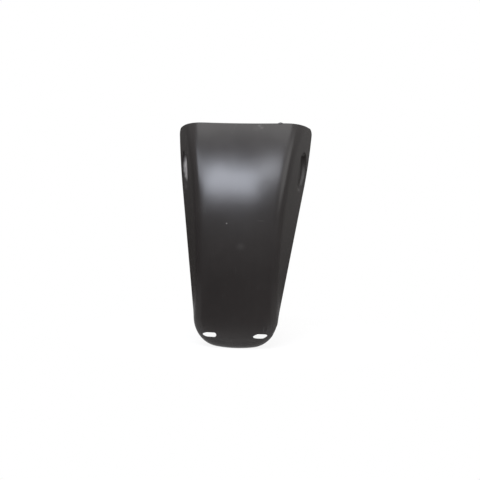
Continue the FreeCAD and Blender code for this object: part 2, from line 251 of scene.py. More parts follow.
# each zone of rows: upper height, lower height, number of rows
ROW_ZONES = ((TOP, 339.0, 10), (339.0, 310.0, 11), (310.0, 215.0, 76), (215.0, 70.0, 48),
             (70.0, CORNER_CENTRE[1], 15))
CORNER_STEPS = 13
BOW_STEPS = 21
# share of the top height above which the search for each column's end starts
LOWEST_END = 0.9
EASING_STEPS = 14
EASING_COLUMNS = 20
EASING_FROM, EASING_FULL = 90.0, 160.0


def outline_stations():
    """Stations from the top of the right side down to the middle of the lower end."""
    heights = [TOP]
    for high, low, steps in ROW_ZONES:
        heights.extend(np.linspace(high, low, steps + 1)[1:])
    round_corner = np.linspace(0.0, CORNER_END, 2 * CORNER_STEPS + 1)[1:]
    round_bow = np.linspace(CORNER_END, -math.pi / 2, BOW_STEPS + 1)[1:]
    stations = np.concatenate([side_stations(heights),
                               arc_stations(CORNER_CENTRE, CORNER_RADIUS, round_corner),
                               arc_stations(BOW_CENTRE, BOW_RADIUS, round_bow)])
    return stations, len(heights) + CORNER_STEPS - 1


def spaced_runs(length):
    """Distances along a section, with the last step as wide as the rim needs."""
    share = np.arange(SECTION_STEPS) / (SECTION_STEPS - 1)
    inner = (length[..., None] - RIM_STEP) * share
    return np.concatenate([inner, length[..., None]], -1)


def top_edge(x):
    """Height of the top edge, which dips a little in the middle."""
    radius = (TOP_DIP_HALF ** 2 + TOP_DIP ** 2) / (2 * TOP_DIP)
    inside = np.minimum(np.abs(x), TOP_DIP_HALF)
    return TOP - TOP_DIP + radius - np.sqrt(radius ** 2 - inside ** 2)


def stretched_strip(stations, inset):
    """The strip's points, row by row, with every column drawn out to the top edge."""
    columns = SECTION_STEPS + 1
    pick = np.arange(columns)

    def point_at(heights, column):
        sections = Sections(side_stations(heights), inset)
        runs = spaced_runs(sections.length)
        return sections.at(np.take_along_axis(runs, column[..., None], -1)[..., 0])

    highest = np.full(columns, TOP)
    ends = halve(lambda heights: point_at(heights, pick)[..., 2] < TOP, LOWEST_END * highest, highest)
    upright = (stations[:, 2] == 1.0) & (stations[:, 1] > STRAIGHT_HEIGHT)
    share = (stations[upright, 1] - STRAIGHT_HEIGHT) / (TOP - STRAIGHT_HEIGHT)
    heights = STRAIGHT_HEIGHT + share[:, None] * (ends - STRAIGHT_HEIGHT)
    upper = point_at(heights, np.broadcast_to(pick, heights.shape))
    sections = Sections(stations[~upright][:, None, :].repeat(columns, 1), inset)
    runs = spaced_runs(sections.length[:, 0])
    return np.concatenate([upper, sections.at(runs)])


def rounded_top_corner(strip, inset):
    """Pull the square top corner of the wall into a round one."""
    radius = REAR_CORNER_RADIUS
    mid_z = TOP - radius
    mid_y = rear_depth(np.array(mid_z)) - radius
    out = np.clip((strip[..., 1] - mid_y) / (rear_depth(strip[..., 2]) - mid_y), 0.0, 1.0)
    up = np.clip((strip[..., 2] - mid_z) / radius, 0.0, 1.0)
    inside = (out > 0.0) & (up > 0.0)
    y = mid_y + radius * out * np.sqrt(1.0 - up ** 2 / 2)
    z = mid_z + radius * up * np.sqrt(1.0 - out ** 2 / 2)
    x = FRONT_HALF + y * math.tan(FLARE) - inset / math.cos(FLARE)
    return np.where(inside[..., None], np.stack([x, y, z], -1), strip)


def face_patch(strip, corner_row, inset):
    """The face's points inside the strip: rows from the top down, columns from the middle out."""
    edge = strip[:, 0][:, [0, 2]]
    right = edge[:corner_row + 1]
    bottom = edge[corner_row:][::-1]
    share = np.linspace(0.0, 1.0, len(bottom))
    top_x = right[0, 0] * share
    top = np.stack([top_x, top_edge(top_x)], -1)
    down = (right[0, 1] - right[:, 1]) / (right[0, 1] - right[-1, 1])
    middle = np.stack([0.0 * down, top[0, 1] + down * (bottom[0, 1] - top[0, 1])], -1)
    s = share[None, :, None]
    t = down[:, None, None]
    across = (1 - s) * middle[:, None] + s * right[:, None]
    along = (1 - t) * top[None] + t * bottom[None]
    corners = (1 - t) * ((1 - s) * top[0] + s * top[-1]) + t * ((1 - s) * bottom[0] + s * bottom[-1])
    place = across + along - corners
    x, z = place[..., 0], place[..., 1]
    return np.stack([x, face_depth(x, z, inset), z], -1)


def eased_fold(strip, patch):
    """Ease the face into the fold, row by row, by averaging points near their shared line."""
    rows, shared = len(patch), patch.shape[1] - 1
    line = np.concatenate([patch[:, :-1], strip[:rows]], 1)
    eased = line.copy()
    for _ in range(EASING_STEPS):
        eased[:, 1:-1] = (eased[:, :-2] + 2 * eased[:, 1:-1] + eased[:, 2:]) / 4
    off_line = np.abs(np.arange(line.shape[1]) - shared)
    near = np.clip(2.0 - 2.0 * off_line / EASING_COLUMNS, 0.0, 1.0)
    high = np.clip((patch[:, -1, 2] - EASING_FROM) / (EASING_FULL - EASING_FROM), 0.0, 1.0)
    line += (high[:, None] * near)[..., None] * (eased - line)
    return np.concatenate([line[:, shared:], strip[rows:]]), line[:, :shared + 1]


stations, corner_row = outline_stations()
skins = {}
for name, inset in (("outer", 0.0), ("inner", WALL)):
    strip = rounded_top_corner(stretched_strip(stations, inset), inset)
    skins[name] = eased_fold(strip, face_patch(strip, corner_row, inset))
    print(name, "skin: strip", skins[name][0].shape[:2], "patch", skins[name][1].shape[:2])

# %% [markdown]
# ## From nets to a closed shell
#
# The right half is mirrored, and points on the middle plane are shared by both halves. The outer
# skin looks outwards and the inner skin inwards. A rim of quads joins them along the top edge and
# along the rear edge. Both lines of the rim get a bevel weight, because a moulded edge is never
# knife-sharp and a small bevel catches a thin line of light.
#
# Each point also keeps two attributes for later: whether it is on the inner skin, and how far it
# lies from the free edge.

# %% Closed shell
MM = 0.001
EDGE_ZONE = 12.0
ON_MIDDLE = 1e-6


class ShellNet:
    """Points and quads of the shell, gathered half by half."""

    def __init__(self):
        self.points = []
        self.inner = []
        self.quads = []
        self.rim_pairs = set()

    def add_points(self, grid, inner):
        """Add a grid of points and their mirror images, and return both grids of numbers."""
        right = np.zeros(grid.shape[:2], int)
        left = np.zeros(grid.shape[:2], int)
        for place in np.ndindex(*grid.shape[:2]):
            x, y, z = grid[place]
            right[place] = left[place] = len(self.points)
            if abs(x) < ON_MIDDLE:
                self.points.append((0.0, y, z))
            else:
                left[place] += 1
                self.points.extend([(x, y, z), (-x, y, z)])
        self.inner.extend([inner] * (len(self.points) - len(self.inner)))
        return right, left

    def add_quads(self, grid, flip):
        a, b = grid[:-1, :-1].ravel(), grid[1:, :-1].ravel()
        c, d = grid[1:, 1:].ravel(), grid[:-1, 1:].ravel()
        rows = np.stack([d, c, b, a] if flip else [a, b, c, d], -1)
        self.quads.extend(rows.tolist())

    def mark_rim(self, line):
        for a, b in zip(line[:-1], line[1:]):
            self.rim_pairs.add((min(a, b), max(a, b)))


def add_skin(net, strip, patch, inner):
    """Add one skin, and return the numbers along its rear and top edges for both halves."""
    strip_sides = net.add_points(strip, inner)
    inside_sides = net.add_points(patch[:-1, :-1], inner)
    edges = []
    for mirrored, (ring, inside) in enumerate(zip(strip_sides, inside_sides)):
        flip = bool(mirrored) != bool(inner)
        grid = np.zeros(patch.shape[:2], int)
        grid[:-1, :-1] = inside
        grid[:, -1] = ring[:patch.shape[0], 0]
        grid[-1, :] = ring[patch.shape[0] - 1:, 0][::-1]
        net.add_quads(ring, flip)
        net.add_quads(grid, flip)
        edges.append((ring[:, -1], np.concatenate([grid[0, :-1], ring[0, :]])))
    return edges


net = ShellNet()
outer_edges = add_skin(net, *skins["outer"], 0)
inner_edges = add_skin(net, *skins["inner"], 1)
for mirrored, (outer_lines, inner_lines) in enumerate(zip(outer_edges, inner_edges)):
    for outer_line, inner_line in zip(outer_lines, inner_lines):
        net.add_quads(np.stack([outer_line, inner_line], -1), bool(mirrored))
        net.mark_rim(outer_line)
        net.mark_rim(inner_line)

shell_mesh = bpy.data.meshes.new("fender_shell")
shell_mesh.from_pydata([Vector(p) * MM for p in net.points], [], net.quads)
places = np.array(net.points)
from_top = top_edge(places[:, 0]) - places[:, 2]
from_rear = (rear_depth(places[:, 2]) - places[:, 1]) * math.cos(REAR_LEAN)
edge_share = np.clip(1.0 - np.minimum(from_top, from_rear) / EDGE_ZONE, 0.0, 1.0)
for name, values in (("inner_skin", net.inner), ("near_edge", edge_share)):
    attribute = shell_mesh.attributes.new(name, "FLOAT", "POINT")
    attribute.data.foreach_set("value", np.asarray(values, np.float32))
on_rim = [float(tuple(sorted(e.vertices)) in net.rim_pairs) for e in shell_mesh.edges]
shell_mesh.attributes.new("bevel_weight_edge", "FLOAT", "EDGE").data.foreach_set("value", on_rim)
fender = bpy.data.objects.new("inner_fender", shell_mesh)
bpy.context.scene.collection.objects.link(fender)

work = bmesh.new()
work.from_mesh(shell_mesh)
loose = [e for e in work.edges if len(e.link_faces) != 2]
print("shell:", len(work.verts), "points,", len(work.faces), "quads, open edges:", len(loose),
      "volume cm3:", round(work.calc_volume(signed=True) * 1e6, 1))
work.free()

# %% [markdown]
# ## Helpers for node trees
#
# The next steps are rules that hold all over a surface, so they are written as node trees. Set down
# node by node they would be long lists. So a small class wraps a node's output and turns ordinary
# sums into math nodes, and a rule reads like a formula. The other helpers fill a node's inputs with
# numbers or links, start a tree with named inputs, and give it its outputs.

# %% Node helpers
FLOAT, VECTOR = "NodeSocketFloat", "NodeSocketVector"
GEOMETRY, MATERIAL = "NodeSocketGeometry", "NodeSocketMaterial"


class Value:
    """A node's output. Each sum with it adds one math node to its tree."""

    def __init__(self, tree, socket):
        self.tree = tree
        self.socket = socket

    def calc(self, operation, other=0.0):
        return made(self.tree, "ShaderNodeMath", {0: self, 1: other}, operation=operation)

    def vector_calc(self, operation, other=(0.0, 0.0, 0.0), output="Vector"):
        return made(self.tree, "ShaderNodeVectorMath", {0: self, 1: other}, output, operation=operation)

    def ramp(self, start, end, low=0.0, high=1.0, kind="SMOOTHSTEP"):
        """A step from low to high as the value goes from start to end."""
        ends = {"Value": self, "From Min": start, "From Max": end, "To Min": low, "To Max": high}
        return made(self.tree, "ShaderNodeMapRange", ends, interpolation_type=kind)

    def __rtruediv__(self, other):
        return made(self.tree, "ShaderNodeMath", {0: other, 1: self}, operation="DIVIDE")

    __add__ = partialmethod(calc, "ADD")
    __sub__ = partialmethod(calc, "SUBTRACT")
    __mul__ = partialmethod(calc, "MULTIPLY")
    __truediv__ = partialmethod(calc, "DIVIDE")
    __abs__ = partialmethod(calc, "ABSOLUTE")
    at_least = partialmethod(calc, "MAXIMUM")


def fill(tree, node, inputs):
    """Give each of these inputs of a node a link or a number."""
    for key, value in inputs.items():
        if isinstance(value, Value):
            tree.links.new(value.socket, node.inputs[key])
        else:
            node.inputs[key].default_value = value
    return node


def add_node(tree, kind, inputs=None, **settings):
    """Add a node, apply its settings and fill its inputs."""
    node = tree.nodes.new(kind)
    for key, value in settings.items():
        setattr(node, key, value)
    return fill(tree, node, inputs or {})


def made(tree, kind, inputs=None, output=0, **settings):
    """Add a node, and return one of its outputs as a value."""
    return Value(tree, add_node(tree, kind, inputs, **settings).outputs[output])


def strongest(values):
    """The largest of several values at each place."""
    first, *others = values
    for other in others:
        first = first.at_least(other)
    return first


def new_tree(name, kind, inputs):
    """A node tree with named inputs, and these inputs as values."""
    tree = bpy.data.node_groups.new(name, kind)
    for label, socket, default in inputs:
        item = tree.interface.new_socket(label, in_out="INPUT", socket_type=socket)
        if default is not None:
            item.default_value = default
    start = tree.nodes.new("NodeGroupInput")
    return tree, {label: Value(tree, start.outputs[label]) for label, _, _ in inputs}


def put_out(tree, results, kind=FLOAT):
    """Give a tree one named output for each result."""
    for label in results:
        tree.interface.new_socket(label, in_out="OUTPUT", socket_type=kind)
    fill(tree, tree.nodes.new("NodeGroupOutput"), results)
    return tree


print("node helpers ready, sockets:", FLOAT, VECTOR, GEOMETRY, MATERIAL)

# %% [markdown]
# ## What each point knows
#
# A rule needs to know where a point is. These helpers give a point's place in millimetres, read an
# attribute that the shell keeps, and draw soft noise. The noise has a fixed fourth coordinate as its
# seed, so every run gives the same shell.

# %% Places and noise
NOISE_SEED = 3.0


def apart(vector):
    """The x, y and z of a vector."""
    sockets = add_node(vector.tree, "ShaderNodeSeparateXYZ", {0: vector}).outputs
    return [Value(vector.tree, socket) for socket in sockets]


def together(tree, x=0.0, y=0.0, z=0.0):
    return made(tree, "ShaderNodeCombineXYZ", {0: x, 1: y, 2: z})


def scaled_place(tree, scale):
    return made(tree, "GeometryNodeInputPosition").vector_calc("MULTIPLY", scale)


def place_in_mm(tree):
    """Each point's x, y and z in millimetres."""
    return apart(scaled_place(tree, (1 / MM,) * 3))


def front_noise(tree, scale, detail=1.0):
    """Noise between -1 and 1, the same at all depths, so that both skins move alike."""
    from_front = scaled_place(tree, (1.0, 0.0, 1.0))
    inputs = {"Vector": from_front, "W": NOISE_SEED, "Scale": scale, "Detail": detail}
    return made(tree, "ShaderNodeTexNoise", inputs, noise_dimensions="4D") * 2.0 - 1.0


def kept(tree, name):
    """An attribute that the shell keeps."""
    return made(tree, "GeometryNodeInputNamedAttribute", {"Name": name}, data_type="FLOAT")


def root_of_squares(a, b):
    return (a * a + b * b).calc("SQRT")


print("noise seed:", NOISE_SEED)

# %% [markdown]
# ## The reliefs
#
# In a real mould the relief is a raised pad on the tool that dents the wall by the same amount on
# both skins. It could be sculpted point by point, but a rule keeps both walls alike: the nodes
# measure how far each point lies outside an oval drawn on the wall, and a smooth ramp turns that
# distance into a push along the wall's normal. The oval is a little larger on the inner skin, which
# keeps the wall's thickness on the slope.
#
# A pale crescent is painted in the left relief as a painted highlight. The same measures give its mask,
# and the plastic reads it later.

# %% Relief rule
RELIEF_INPUTS = [("Rise", 272.0), ("Setback", 97.0), ("Lean", 19.0), ("Oval Height", 70.0),
                 ("Oval Width", 28.0), ("Push", 5.0), ("Ramp Outside", 1.7), ("Ramp Inside", 5.2),
                 ("Inner Growth", 1.0)]
# sizes of the painted highlight, a pale crescent painted in the left relief
PAINTED_HIGHLIGHT_INPUTS = [("Painted Highlight Rise", 3.6), ("Painted Highlight Setback", -0.5), ("Painted Highlight Height", 59.0),
                ("Painted Highlight Width", 28.2), ("Painted Highlight Raggedness", 0.12)]
PAINTED_HIGHLIGHT_NOISE = (160.0, 2.0)
PAINTED_HIGHLIGHT_FADE = (1.0, 0.7)
# lower limits that keep the oval's centre from dividing by zero
LEAST_SHARE, LEAST_STEEPNESS = 0.05, 0.003


def oval_place(tree, sizes):
    """Each point's place on the flat wall, along the oval's long and short axis from its centre."""
    x, y, z = place_in_mm(tree)
    back = (abs(x) - FRONT_HALF) * math.sin(FLARE) + y * math.cos(FLARE) - sizes["Setback"]
    up = z - sizes["Rise"]
    lean = sizes["Lean"].calc("RADIANS")
    sine, cosine = lean.calc("SINE"), lean.calc("COSINE")
    return back * sine + up * cosine, back * cosine - up * sine


def oval_distance(length, width, sizes):
    """About how far a point lies outside the oval, in mm. It is negative inside."""
    half_length, half_width = sizes["Oval Height"] * 0.5, sizes["Oval Width"] * 0.5
    down, across = length / half_length, width / half_width
    share = root_of_squares(down, across).at_least(LEAST_SHARE)
    steepness = root_of_squares(down / half_length, across / half_width)
    return share * (share - 1.0) / steepness.at_least(LEAST_STEEPNESS)


def relief_push(tree, sizes):
    """Offset that presses the oval reliefs into both walls."""
    outside = oval_distance(*oval_place(tree, sizes), sizes)
    outside = outside - kept(tree, "inner_skin") * sizes["Inner Growth"]
    pressed = outside.ramp(sizes["Ramp Outside"], sizes["Ramp Inside"] * -1.0) * sizes["Push"] * MM
    side = place_in_mm(tree)[0].calc("SIGN")
    return together(tree, side * pressed * -math.cos(FLARE), pressed * math.sin(FLARE))


def painted_highlight_mask(tree, sizes):
    """The mask of a painted highlight: a patch with a broken outline in the left relief, on the outer
    skin only.
    """
    length, width = oval_place(tree, sizes)
    down = (length - sizes["Painted Highlight Rise"]) / sizes["Painted Highlight Height"]
    across = (width - sizes["Painted Highlight Setback"]) / sizes["Painted Highlight Width"]
    broken = front_noise(tree, *PAINTED_HIGHLIGHT_NOISE) * sizes["Painted Highlight Raggedness"]
    share = root_of_squares(down, across) * 2.0 + broken
    on_left = place_in_mm(tree)[0].calc("LESS_THAN", 0.0)
    outer = kept(tree, "inner_skin").calc("LESS_THAN", 0.5)
    return share.ramp(*PAINTED_HIGHLIGHT_FADE) * on_left * outer


print("relief inputs:", len(RELIEF_INPUTS), "painted highlight inputs:", len(PAINTED_HIGHLIGHT_INPUTS))

# %% [markdown]
# ## The fixing slots
#
# The two slots take the screws that hold the fender. They are two instances of one prism, swept from
# a rounded rectangle. Their cut edges are slightly ragged, and thin flash from the moulding has
# closed part of their ends, so the prisms get noise on their outline and narrow towards those ends.

# %% Slot prisms
SLOT_INPUTS = [("Slot Spacing", 80.0), ("Slot Length", 22.0), ("Slot Width", 7.0), ("Raggedness", 0.16),
               ("Flash Share", 0.45), ("Flash Lift", 1.3)]
# stretches of x, in mm, over which flash narrows the outer and the inner ends
OUTER_END, INNER_END = (43.0, 51.0), (37.0, 29.0)
INNER_TILT = 0.75
SLOT_NOISE = (420.0, 2.0)
PRISM_START, PRISM_END = (0.0, -0.02, 0.0), (0.0, 0.03, 0.0)
# just under half the width, so that the two rounded corners of an end don't overlap
END_ROUNDING = 0.499
END_STEPS, OUTLINE_POINTS = 8, 72


def prism_pair(tree, sizes):
    """Two prisms along Y, one for each slot."""
    spacing, length, width = (sizes["Slot " + key] * MM for key in ("Spacing", "Length", "Width"))
    outline = made(tree, "GeometryNodeCurvePrimitiveQuadrilateral", {"Width": length, "Height": width})
    rounding = {"Curve": outline, "Count": END_STEPS, "Radius": width * END_ROUNDING}
    outline = made(tree, "GeometryNodeFilletCurve", rounding, mode="POLY")
    outline = made(tree, "GeometryNodeResampleCurve", {"Curve": outline, "Count": OUTLINE_POINTS})
    path = made(tree, "GeometryNodeCurvePrimitiveLine", {"Start": PRISM_START, "End": PRISM_END})
    sweep = {"Curve": path, "Profile Curve": outline, "Fill Caps": True}
    prism = made(tree, "GeometryNodeCurveToMesh", sweep)
    start, step = together(tree, spacing * -0.5), together(tree, spacing)
    points = made(tree, "GeometryNodeMeshLine", {"Count": 2, "Start Location": start, "Offset": step})
    pair = made(tree, "GeometryNodeInstanceOnPoints", {"Points": points, "Instance": prism})
    return made(tree, "GeometryNodeRealizeInstances", {0: pair})


def flash_offset(tree, sizes):
    """How raggedness and flash move the prisms' points."""
    x, _, z = place_in_mm(tree)
    shift = front_noise(tree, *SLOT_NOISE) * sizes["Raggedness"]
    on_right = x.calc("GREATER_THAN", 0.0)
    outer_end = abs(x).ramp(*OUTER_END)
    inner_end = abs(x).ramp(*INNER_END) * on_right
    narrowing = (outer_end + inner_end) * sizes["Flash Share"]
    tilt = outer_end * on_right - inner_end * INNER_TILT
    rise = tilt * sizes["Flash Lift"] + shift - z * narrowing
    return together(tree, shift, 0.0, rise).vector_calc("MULTIPLY", (MM,) * 3)


print("slot inputs:", [name for name, _ in SLOT_INPUTS])

# %% [markdown]
# ## The gate stub
#
# Plastic flows into a mould through a runner. When that is cut off, a small stub is left, and here it
# stands on the top edge. It could be a separate lump joined on, but a rule that raises the edge's own
# points keeps the shell one closed net.

# %% Gate stub
GATE_INPUTS = [("Gate Place", 63.3), ("Gate Width", 7.0), ("Gate Height", 1.7)]
GATE_FLAT_SHARE = 0.4
GATE_TEAR, GATE_NOISE = 0.2, 400.0
AT_EDGE = 0.98


def gate_rise(tree, sizes):
    """Offset that leaves the rest of a cut-off runner standing on the top edge."""
    aside = abs(place_in_mm(tree)[0] - sizes["Gate Place"])
    half = sizes["Gate Width"] * 0.5
    stub = aside.ramp(half, half * GATE_FLAT_SHARE, 0.0, sizes["Gate Height"])
    torn = front_noise(tree, GATE_NOISE) * GATE_TEAR + 1.0
    on_edge = kept(tree, "near_edge").calc("GREATER_THAN", AT_EDGE)
    return together(tree, z=stub * torn * on_edge * MM)


print("gate stub, mm:", dict(GATE_INPUTS))

# %% [markdown]
# ## The moulding tree
#
# The tree joins these rules in the order of making. It keeps the mask of the painted highlight in the
# left relief, raises the stub, presses the reliefs, lets the sheet warp by a fifth of a millimetre as
# thin mouldings do, and cuts the slots with a boolean. The new edges are marked for the bevel, and each
# skin gets its own plastic.

# %% Moulding tree
WARP_INPUTS = [("Warp", 0.22), ("Warp Size", 9.0)]
NAMED_INPUTS = RELIEF_INPUTS + PAINTED_HIGHLIGHT_INPUTS + SLOT_INPUTS + GATE_INPUTS + WARP_INPUTS
# faces count as inner where most of their points are
MOSTLY_INNER = 0.75


def noted(shell, name, value, domain):
    """Keep a value as an attribute of the shell."""
    inputs = {"Geometry": shell, "Name": name, "Value": value}
    return made(shell.tree, "GeometryNodeStoreNamedAttribute", inputs, data_type="FLOAT", domain=domain)


def moved(shell, offset):
    return made(shell.tree, "GeometryNodeSetPosition", {"Geometry": shell, "Offset": offset})


def painted(shell, plastic, chosen=True):
    inputs = {"Geometry": shell, "Selection": chosen, "Material": plastic}
    return made(shell.tree, "GeometryNodeSetMaterial", inputs)


def moulding_tree():
    inputs = [("Shell", GEOMETRY, None), ("Outer Plastic", MATERIAL, None),
              ("Inner Plastic", MATERIAL, None)]
    inputs += [(name, FLOAT, value) for name, value in NAMED_INPUTS]
    tree, given = new_tree("press_and_cut", "GeometryNodeTree", inputs)
    # keep the mask of the painted highlight in the left relief
    shell = noted(given["Shell"], "painted_relief_highlight", painted_highlight_mask(tree, given), "POINT")
    shell = moved(shell, gate_rise(tree, given))
    shell = moved(shell, relief_push(tree, given))
    swell = front_noise(tree, given["Warp Size"]) * given["Warp"] * MM
    shell = painted(moved(shell, together(tree, y=swell)), given["Outer Plastic"])
    prisms = moved(prism_pair(tree, given), flash_offset(tree, given))
    prisms = painted(prisms, given["Outer Plastic"])
    cut = add_node(tree, "GeometryNodeMeshBoolean", {"Mesh 1": shell, "Mesh 2": prisms},
                   operation="DIFFERENCE", solver="EXACT").outputs
    weight = kept(tree, "bevel_weight_edge").at_least(Value(tree, cut["Intersecting Edges"]))
    shell = noted(Value(tree, cut["Mesh"]), "bevel_weight_edge", weight, "EDGE")
    shell = made(tree, "GeometryNodeRealizeInstances", {0: shell})
    is_inner = kept(tree, "inner_skin").calc("GREATER_THAN", MOSTLY_INNER)
    return put_out(tree, {"Shell": painted(shell, given["Inner Plastic"], is_inner)}, GEOMETRY)


press_and_cut = moulding_tree()
print("moulding tree:", len(press_and_cut.nodes), "nodes,", len(NAMED_INPUTS), "sizes")

# %% [markdown]
# ## Grain and handling, as shared effects
#
# The outer and the inner side of a moulding come from two halves of one tool, so they share the same
# plastic but not the same finish. Effects that both use are made once, as shader node groups. Each
# puts out masks and heights only, and the shaders stay in the materials.
#
# The first two are the fine grain that the tool leaves, with slow changes of gloss along the flow of
# the plastic, and the marks of handling: hairline scratches, soft smudges and specks of dust.

# %% Grain and handling groups
COARSE_GRAIN = 0.22
FLOW_STRETCH = (26.0, 26.0, 7.0)
CLOUD_SCALE, SCRATCH_PATCH_SCALE, SMUDGE_SCALE, DUST_SCALE = 16.0, 34.0, 21.0, 70.0
SCRATCH_WAYS = (((0.3, 0.5, 0.2), (240.0, 240.0, 5.0)), ((1.1, -0.6, 0.4), (320.0, 320.0, 7.0)))
SCRATCH_WIDTH = 0.006
SCRATCH_PATCH, SMUDGE_PATCH = (0.55, 0.7), (0.35, 0.75)
DUST_SPECK, DUST_CHOICE = (0.014, 0.03), (0.86, 0.9)


def noise_value(place, scale=1.0, detail=2.0, roughness=0.5):
    inputs = {"Vector": place, "Scale": scale, "Detail": detail, "Roughness": roughness}
    return made(place.tree, "ShaderNodeTexNoise", inputs)


def stretched(place, scale, turn=(0.0, 0.0, 0.0)):
    return made(place.tree, "ShaderNodeMapping", {"Vector": place, "Rotation": turn, "Scale": scale})


def shader_group(name, vectors, numbers):
    """A shader group with inputs of these names, and the inputs as values."""
    inputs = [(label, VECTOR, None) for label in vectors] + [(label, FLOAT, None) for label in numbers]
    return new_tree(name, "ShaderNodeTree", inputs)


def moulded_grain_group():
    """Tool grain as a height, and slow changes of gloss along the flow of the plastic."""
    tree, given = shader_group("moulded_grain", ["Place"], ["Grain Size", "Coarse Share"])
    place = given["Place"]
    scale = 1.0 / MM / given["Grain Size"]
    fine = noise_value(place, scale, detail=3.0, roughness=0.6)
    coarse = noise_value(place, scale * COARSE_GRAIN)
    streaks = noise_value(stretched(place, FLOW_STRETCH), detail=3.0)
    clouds = noise_value(place, CLOUD_SCALE, detail=3.0)
    height = coarse * given["Coarse Share"] + fine
    return put_out(tree, {"Height": height, "Flow": (streaks + clouds) * 0.5})


def hairlines(place, turn, stretch):
    """Thin lines where stretched noise passes its middle value."""
    wave = noise_value(stretched(place, stretch, turn), detail=1.0)
    return abs(wave - 0.5).ramp(0.0, SCRATCH_WIDTH, 1.0, 0.0)


def handling_group():
    """Hairline scratches, soft smudges and specks of dust, as masks."""
    tree, given = shader_group("handling_marks", ["Place"], ["Scratches", "Smudges", "Dust"])
    place = given["Place"]
    lines = strongest(hairlines(place, *way) for way in SCRATCH_WAYS)
    where = noise_value(place, SCRATCH_PATCH_SCALE).ramp(*SCRATCH_PATCH)
    smudge = noise_value(place, SMUDGE_SCALE).ramp(*SMUDGE_PATCH, 0.0, given["Smudges"])
    cells = add_node(tree, "ShaderNodeTexVoronoi", {"Vector": place, "Scale": DUST_SCALE}).outputs
    chosen = made(tree, "ShaderNodeSeparateColor", {0: Value(tree, cells["Color"])}).ramp(*DUST_CHOICE)
    speck = Value(tree, cells["Distance"]).ramp(*DUST_SPECK, 1.0, 0.0) * chosen * given["Dust"]
    scratch = lines * where * given["Scratches"]
    return put_out(tree, {"Scratch": scratch, "Smudge": smudge, "Speck": speck})


moulded_grain = moulded_grain_group()
handling_marks = handling_group()
print("shader groups:", moulded_grain.name, handling_marks.name)

# %% [markdown]
# ## Abrasion, painted highlights and marks, as shared effects
#
# Two more groups say where the plastic is paler. One reads how close a point is to the free edge and
# breaks that band up with noise: the band is abrasion, and also a painted highlight that adds to the
# thin line of light along the rim. The same group gives the painted highlight in the left relief, a pale
# crescent. The other sets one soft mark at a given place, for the few specks and smears that can be seen
# one by one.

# %% Abrasion, painted highlight and mark groups
# the band near the free edge is abrasion and also a painted highlight along the rim
RIM_BAND_SCALE, RIM_BAND_PATCH, RIM_BAND_REACH = 140.0, (0.38, 0.66, 0.25, 1.0), (0.86, 1.0)
STROKE_STRETCH, STROKE_PATCH = (190.0, 190.0, 55.0), (0.34, 0.6, 0.55, 1.0)


def abrasion_and_painted_light_group():
    """Where the free edge is abraded and painted lighter as a highlight along the rim, and where the
    left relief has its painted highlight.
    """
    tree, given = shader_group("abrasion_and_painted_light", ["Place"], ["Near Edge", "Painted Relief Highlight", "Amount"])
    broken = noise_value(given["Place"], RIM_BAND_SCALE, detail=4.0, roughness=0.65).ramp(*RIM_BAND_PATCH)
    close = given["Near Edge"].ramp(*RIM_BAND_REACH, 0.0, given["Amount"])
    strokes = noise_value(stretched(given["Place"], STROKE_STRETCH), detail=4.0, roughness=0.6)
    return put_out(tree, {"Rim Abrasion And Light": broken * close, "Pale": given["Painted Relief Highlight"] * strokes.ramp(*STROKE_PATCH)})


def placed_mark_group():
    """A soft round or drawn-out mark at one place, such as a speck, a smear or a scratch."""
    tree, given = shader_group("placed_mark", ["Place", "Centre", "Reach"], ["Core", "Strength"])
    away = given["Place"].vector_calc("SUBTRACT", given["Centre"])
    share = away.vector_calc("DIVIDE", given["Reach"]).vector_calc("LENGTH", output="Value")
    return put_out(tree, {"Mark": share.ramp(given["Core"], 1.0, given["Strength"], 0.0)})


abrasion_and_painted_light = abrasion_and_painted_light_group()
placed_mark = placed_mark_group()
print("shader groups:", abrasion_and_painted_light.name, placed_mark.name)

# %% [markdown]
# ## The plastic
#
# The plastic is a filled polypropylene, dyed almost black with a trace of warmth. Seen straight on it is
# dark, and it shines only where a lamp is mirrored, so most of its look is in the roughness and in the
# fine grain. Abraded places, scratches and dust are greyer and duller, and so are the painted highlights
# along the rim and in the left relief. One function makes the material, so both sides of the part stay
# the same stuff.

# %% Plastic from the shared effects
SPECULAR_LEVEL = 0.34
GRAIN_DEPTH = 0.00006
FLOW_TINT, FLOW_GLOSS = (0.3, 0.7), (0.25, 0.75)
FLOW_SWING, SMUDGE_DULLING, WEAR_DULLING = 0.03, 0.06, 0.15
SCRATCH_DUST, SCRATCH_DEPTH = 0.5, 0.6


def effect(tree, group, inputs):
    """Put a shared effect into a material, and return its outputs by name."""
    node = add_node(tree, "ShaderNodeGroup", inputs, node_tree=group)
    return {socket.name: Value(tree, socket) for socket in node.outputs}


def mark_at(place, centre, reach, core, strength):
    inputs = {"Place": place, "Centre": [MM * v for v in centre], "Reach": [MM * v for v in reach],
              "Core": core, "Strength": strength}
    return effect(place.tree, placed_mark, inputs)["Mark"]


def tinted(share, first, second):
    """A blend of two colours."""
    ends = {"Factor": share, "A": first, "B": (*second, 1.0)}
    return made(share.tree, "ShaderNodeMix", ends, "Result", data_type="RGBA")


